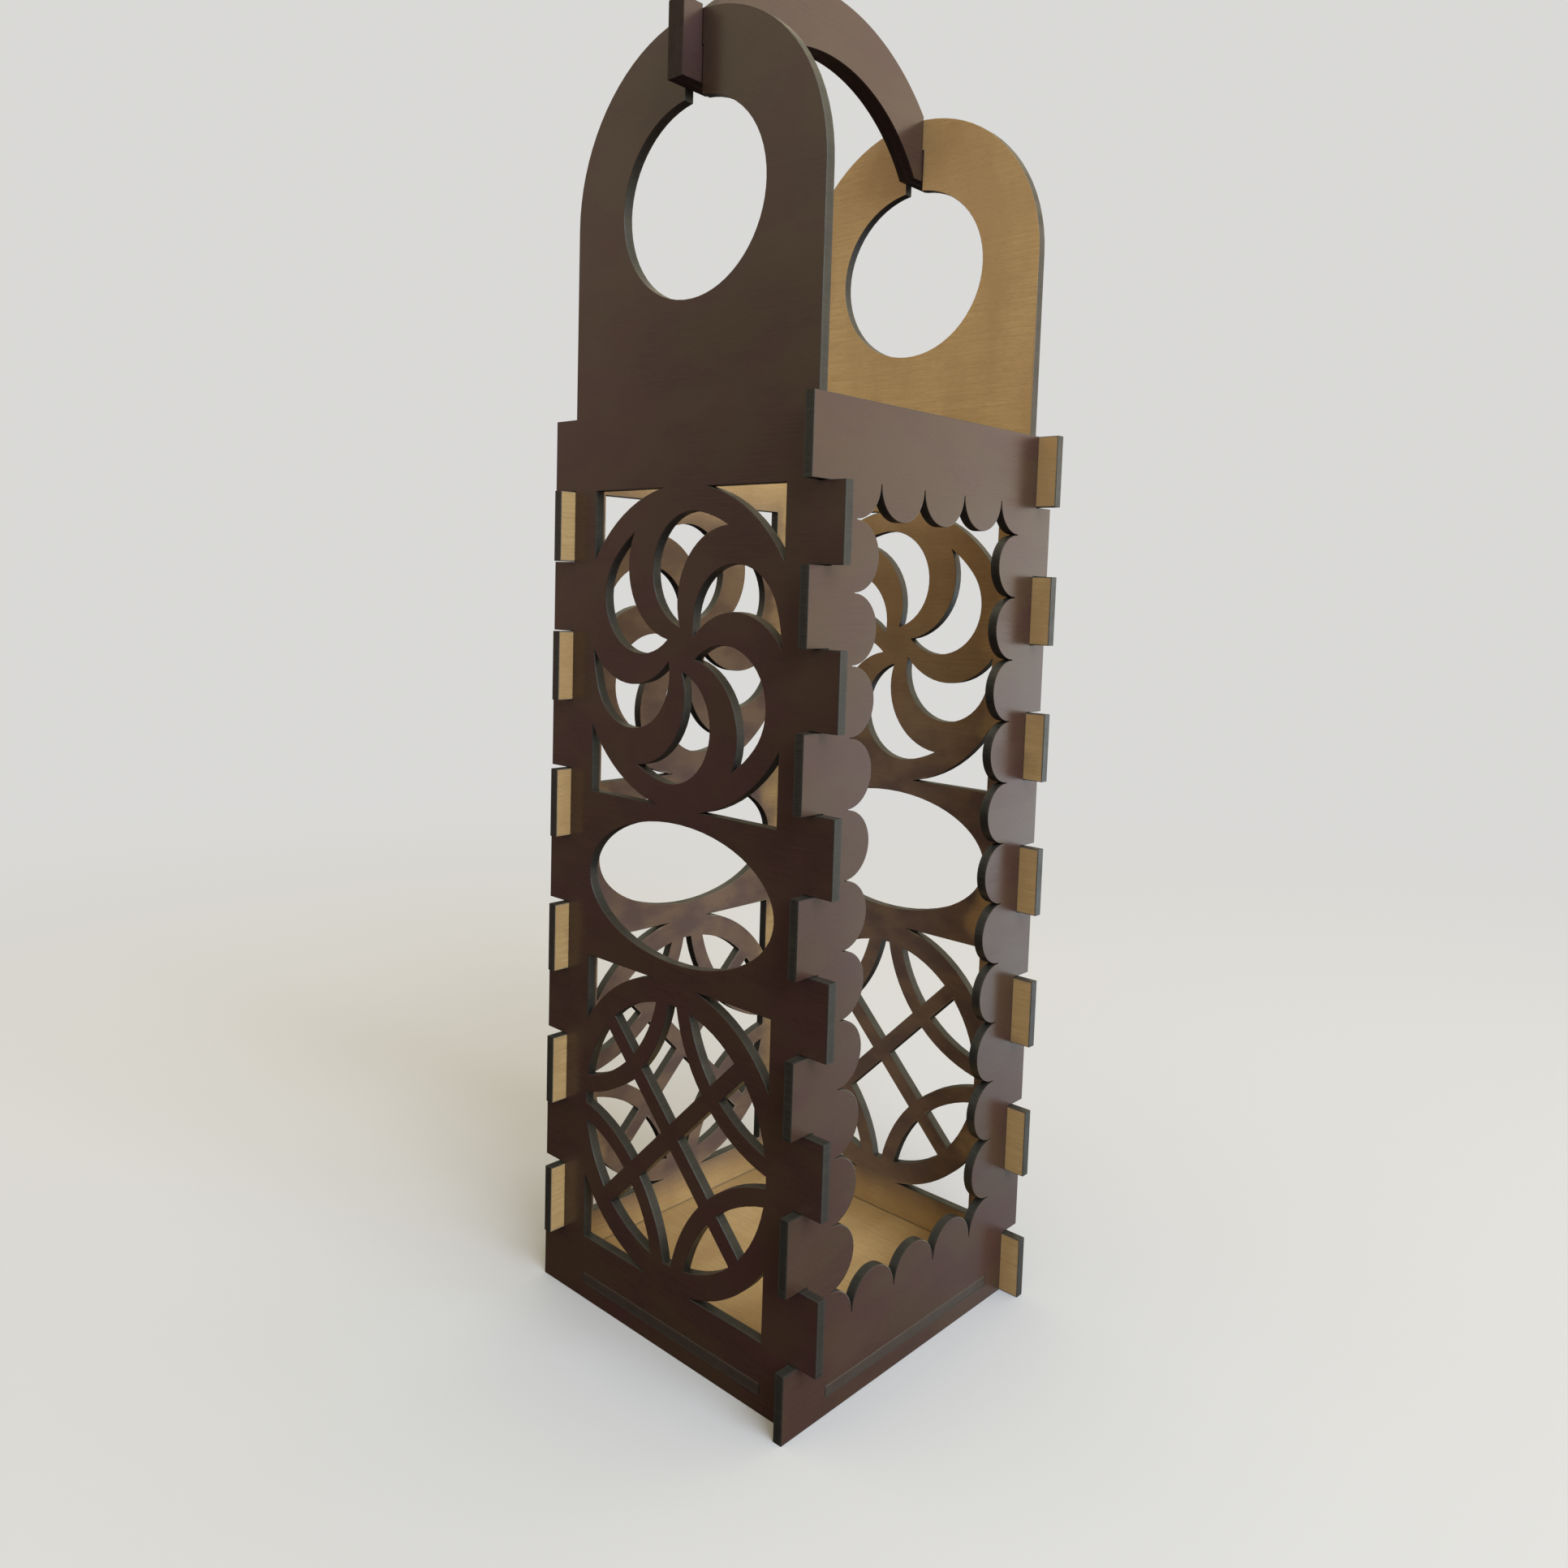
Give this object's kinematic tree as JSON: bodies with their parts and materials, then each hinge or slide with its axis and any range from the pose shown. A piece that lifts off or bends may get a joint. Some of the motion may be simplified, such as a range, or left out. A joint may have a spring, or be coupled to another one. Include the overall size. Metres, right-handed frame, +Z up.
{
  "type": "bottle caddy",
  "caption": "Upright box for carrying one bottle, glued from laser-cut plywood, with arched ends, openwork windows, one scalloped side window and a grip across the top.",
  "frame": {"origin": "middle of the box's footprint, on the plane that it stands on", "axes": "+Z up, +X to the right across the front tall panel, +Y from the front tall panel to the rear one"},
  "size_m": [0.116, 0.1136, 0.3954],
  "materials": {
    "panel_ply": "walnut-stained and varnished plywood, bare tan inside, scorched edges",
    "floor_ply": "varnished plywood, scorched edges",
    "handle_ply": "walnut-stained and varnished plywood, scorched edges"
  },
  "bodies": {
    "root": {"front_panel": "panel_ply", "rear_panel": "panel_ply", "left_panel": "panel_ply", "right_panel": "panel_ply", "floor_plate": "floor_ply", "handle_left_ply": "handle_ply", "handle_right_ply": "handle_ply"}
  },
  "joints": []
}
